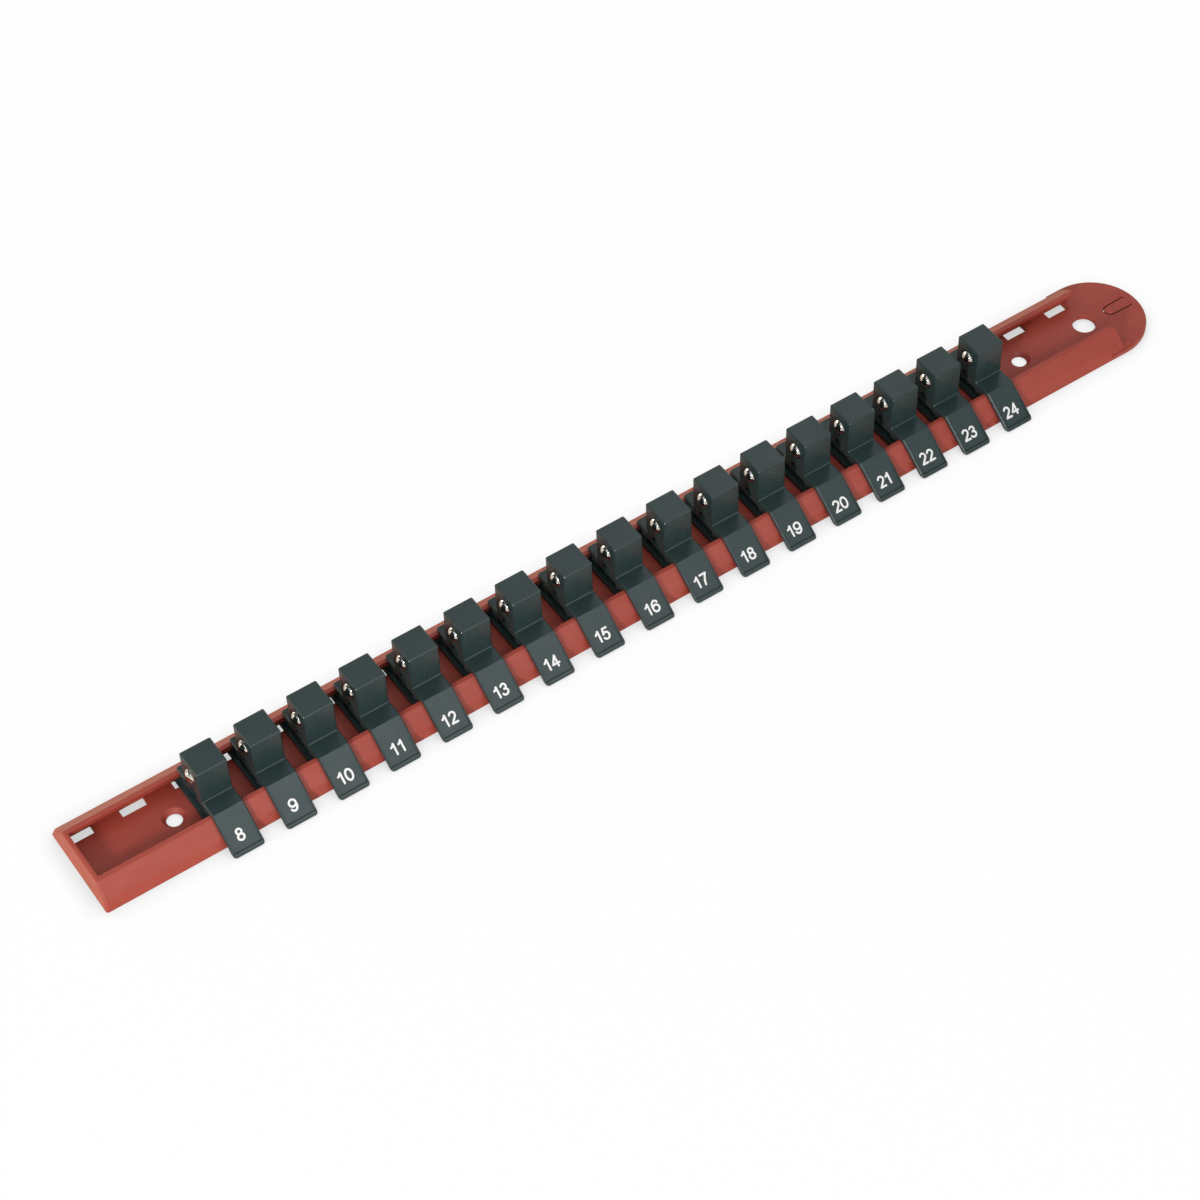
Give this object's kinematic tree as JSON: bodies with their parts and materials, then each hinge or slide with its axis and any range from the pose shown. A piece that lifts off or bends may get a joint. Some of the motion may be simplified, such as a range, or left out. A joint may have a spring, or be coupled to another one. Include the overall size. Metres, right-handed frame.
{
  "type": "socket rail",
  "caption": "Wall or drawer rail that holds sockets on numbered square-post clips, which slide in a moulded channel with screw holes, a hanging hole and a springy end catch.",
  "frame": {"origin": "midway between the two screw holes, on the flat back face", "axes": "+X along the rail towards the hanging tab, +Y towards the rear lip, +Z out of the back face along the posts"},
  "size_m": [0.4836, 0.0481, 0.0263],
  "materials": {
    "rail_plastic": "satin",
    "clip_plastic": "satin",
    "ball_chrome": "polished",
    "spring_steel": "plain"
  },
  "bodies": {
    "rail": {"rail": "rail_plastic"},
    "catch": {"catch_tongue": "rail_plastic"},
    "clip_08": {"clip_08": "clip_plastic", "spring_08": "spring_steel"},
    "ball_08": {"ball_08": "ball_chrome"},
    "clip_09": {"clip_09": "clip_plastic", "spring_09": "spring_steel"},
    "ball_09": {"ball_09": "ball_chrome"},
    "clip_10": {"clip_10": "clip_plastic", "spring_10": "spring_steel"},
    "ball_10": {"ball_10": "ball_chrome"},
    "clip_11": {"clip_11": "clip_plastic", "spring_11": "spring_steel"},
    "ball_11": {"ball_11": "ball_chrome"},
    "clip_12": {"clip_12": "clip_plastic", "spring_12": "spring_steel"},
    "ball_12": {"ball_12": "ball_chrome"},
    "clip_13": {"clip_13": "clip_plastic", "spring_13": "spring_steel"},
    "ball_13": {"ball_13": "ball_chrome"},
    "clip_14": {"clip_14": "clip_plastic", "spring_14": "spring_steel"},
    "ball_14": {"ball_14": "ball_chrome"},
    "clip_15": {"clip_15": "clip_plastic", "spring_15": "spring_steel"},
    "ball_15": {"ball_15": "ball_chrome"},
    "clip_16": {"clip_16": "clip_plastic", "spring_16": "spring_steel"},
    "ball_16": {"ball_16": "ball_chrome"},
    "clip_17": {"clip_17": "clip_plastic", "spring_17": "spring_steel"},
    "ball_17": {"ball_17": "ball_chrome"},
    "clip_18": {"clip_18": "clip_plastic", "spring_18": "spring_steel"},
    "ball_18": {"ball_18": "ball_chrome"},
    "clip_19": {"clip_19": "clip_plastic", "spring_19": "spring_steel"},
    "ball_19": {"ball_19": "ball_chrome"},
    "clip_20": {"clip_20": "clip_plastic", "spring_20": "spring_steel"},
    "ball_20": {"ball_20": "ball_chrome"},
    "clip_21": {"clip_21": "clip_plastic", "spring_21": "spring_steel"},
    "ball_21": {"ball_21": "ball_chrome"},
    "clip_22": {"clip_22": "clip_plastic", "spring_22": "spring_steel"},
    "ball_22": {"ball_22": "ball_chrome"},
    "clip_23": {"clip_23": "clip_plastic", "spring_23": "spring_steel"},
    "ball_23": {"ball_23": "ball_chrome"},
    "clip_24": {"clip_24": "clip_plastic", "spring_24": "spring_steel"},
    "ball_24": {"ball_24": "ball_chrome"}
  },
  "joints": [
    {"name": "clip_08_slide", "type": "slide", "parent": "rail", "child": "clip_08", "axis": [1, 0, 0], "range_m": [-0.04319, 0.0032]},
    {"name": "ball_08_press", "type": "slide", "parent": "clip_08", "child": "ball_08", "axis": [1, 0, 0], "range_m": [0, 0.0013], "stiffness_N_per_m": 1500, "springref_m": -0.001, "deforming": ["spring_08"]},
    {"name": "clip_09_slide", "type": "slide", "parent": "rail", "child": "clip_09", "axis": [1, 0, 0], "range_m": [-0.0032, 0.0032]},
    {"name": "ball_09_press", "type": "slide", "parent": "clip_09", "child": "ball_09", "axis": [1, 0, 0], "range_m": [0, 0.0013], "stiffness_N_per_m": 1500, "springref_m": -0.001, "deforming": ["spring_09"]},
    {"name": "clip_10_slide", "type": "slide", "parent": "rail", "child": "clip_10", "axis": [1, 0, 0], "range_m": [-0.0032, 0.0032]},
    {"name": "ball_10_press", "type": "slide", "parent": "clip_10", "child": "ball_10", "axis": [1, 0, 0], "range_m": [0, 0.0013], "stiffness_N_per_m": 1500, "springref_m": -0.001, "deforming": ["spring_10"]},
    {"name": "clip_11_slide", "type": "slide", "parent": "rail", "child": "clip_11", "axis": [1, 0, 0], "range_m": [-0.0032, 0.00347]},
    {"name": "ball_11_press", "type": "slide", "parent": "clip_11", "child": "ball_11", "axis": [1, 0, 0], "range_m": [0, 0.0013], "stiffness_N_per_m": 1500, "springref_m": -0.001, "deforming": ["spring_11"]},
    {"name": "clip_12_slide", "type": "slide", "parent": "rail", "child": "clip_12", "axis": [1, 0, 0], "range_m": [-0.00347, 0.00347]},
    {"name": "ball_12_press", "type": "slide", "parent": "clip_12", "child": "ball_12", "axis": [1, 0, 0], "range_m": [0, 0.0013], "stiffness_N_per_m": 1500, "springref_m": -0.001, "deforming": ["spring_12"]},
    {"name": "clip_13_slide", "type": "slide", "parent": "rail", "child": "clip_13", "axis": [1, 0, 0], "range_m": [-0.00347, 0.00347]},
    {"name": "ball_13_press", "type": "slide", "parent": "clip_13", "child": "ball_13", "axis": [1, 0, 0], "range_m": [0, 0.0013], "stiffness_N_per_m": 1500, "springref_m": -0.001, "deforming": ["spring_13"]},
    {"name": "clip_14_slide", "type": "slide", "parent": "rail", "child": "clip_14", "axis": [1, 0, 0], "range_m": [-0.00347, 0.00358]},
    {"name": "ball_14_press", "type": "slide", "parent": "clip_14", "child": "ball_14", "axis": [1, 0, 0], "range_m": [0, 0.0013], "stiffness_N_per_m": 1500, "springref_m": -0.001, "deforming": ["spring_14"]},
    {"name": "clip_15_slide", "type": "slide", "parent": "rail", "child": "clip_15", "axis": [1, 0, 0], "range_m": [-0.00358, 0.00358]},
    {"name": "ball_15_press", "type": "slide", "parent": "clip_15", "child": "ball_15", "axis": [1, 0, 0], "range_m": [0, 0.0013], "stiffness_N_per_m": 1500, "springref_m": -0.001, "deforming": ["spring_15"]},
    {"name": "clip_16_slide", "type": "slide", "parent": "rail", "child": "clip_16", "axis": [1, 0, 0], "range_m": [-0.00358, 0.00358]},
    {"name": "ball_16_press", "type": "slide", "parent": "clip_16", "child": "ball_16", "axis": [1, 0, 0], "range_m": [0, 0.0013], "stiffness_N_per_m": 1500, "springref_m": -0.001, "deforming": ["spring_16"]},
    {"name": "clip_17_slide", "type": "slide", "parent": "rail", "child": "clip_17", "axis": [1, 0, 0], "range_m": [-0.00358, 0.00322]},
    {"name": "ball_17_press", "type": "slide", "parent": "clip_17", "child": "ball_17", "axis": [1, 0, 0], "range_m": [0, 0.0013], "stiffness_N_per_m": 1500, "springref_m": -0.001, "deforming": ["spring_17"]},
    {"name": "clip_18_slide", "type": "slide", "parent": "rail", "child": "clip_18", "axis": [1, 0, 0], "range_m": [-0.00322, 0.00322]},
    {"name": "ball_18_press", "type": "slide", "parent": "clip_18", "child": "ball_18", "axis": [1, 0, 0], "range_m": [0, 0.0013], "stiffness_N_per_m": 1500, "springref_m": -0.001, "deforming": ["spring_18"]},
    {"name": "clip_19_slide", "type": "slide", "parent": "rail", "child": "clip_19", "axis": [1, 0, 0], "range_m": [-0.00322, 0.00322]},
    {"name": "ball_19_press", "type": "slide", "parent": "clip_19", "child": "ball_19", "axis": [1, 0, 0], "range_m": [0, 0.0013], "stiffness_N_per_m": 1500, "springref_m": -0.001, "deforming": ["spring_19"]},
    {"name": "clip_20_slide", "type": "slide", "parent": "rail", "child": "clip_20", "axis": [1, 0, 0], "range_m": [-0.00322, 0.00285]},
    {"name": "ball_20_press", "type": "slide", "parent": "clip_20", "child": "ball_20", "axis": [1, 0, 0], "range_m": [0, 0.0013], "stiffness_N_per_m": 1500, "springref_m": -0.001, "deforming": ["spring_20"]},
    {"name": "clip_21_slide", "type": "slide", "parent": "rail", "child": "clip_21", "axis": [1, 0, 0], "range_m": [-0.00285, 0.00285]},
    {"name": "ball_21_press", "type": "slide", "parent": "clip_21", "child": "ball_21", "axis": [1, 0, 0], "range_m": [0, 0.0013], "stiffness_N_per_m": 1500, "springref_m": -0.001, "deforming": ["spring_21"]},
    {"name": "clip_22_slide", "type": "slide", "parent": "rail", "child": "clip_22", "axis": [1, 0, 0], "range_m": [-0.00285, 0.00281]},
    {"name": "ball_22_press", "type": "slide", "parent": "clip_22", "child": "ball_22", "axis": [1, 0, 0], "range_m": [0, 0.0013], "stiffness_N_per_m": 1500, "springref_m": -0.001, "deforming": ["spring_22"]},
    {"name": "clip_23_slide", "type": "slide", "parent": "rail", "child": "clip_23", "axis": [1, 0, 0], "range_m": [-0.00281, 0.00281]},
    {"name": "ball_23_press", "type": "slide", "parent": "clip_23", "child": "ball_23", "axis": [1, 0, 0], "range_m": [0, 0.0013], "stiffness_N_per_m": 1500, "springref_m": -0.001, "deforming": ["spring_23"]},
    {"name": "clip_24_slide", "type": "slide", "parent": "rail", "child": "clip_24", "axis": [1, 0, 0], "range_m": [-0.00281, 0.059]},
    {"name": "ball_24_press", "type": "slide", "parent": "clip_24", "child": "ball_24", "axis": [1, 0, 0], "range_m": [0, 0.0013], "stiffness_N_per_m": 1500, "springref_m": -0.001, "deforming": ["spring_24"]},
    {"name": "catch_flex", "type": "hinge", "parent": "rail", "child": "catch", "pos_m": [0.24925, 0, 0.00145], "axis": [0, -1, 0], "range_deg": [0, 4.2], "stiffness_Nm_per_rad": 2}
  ]
}
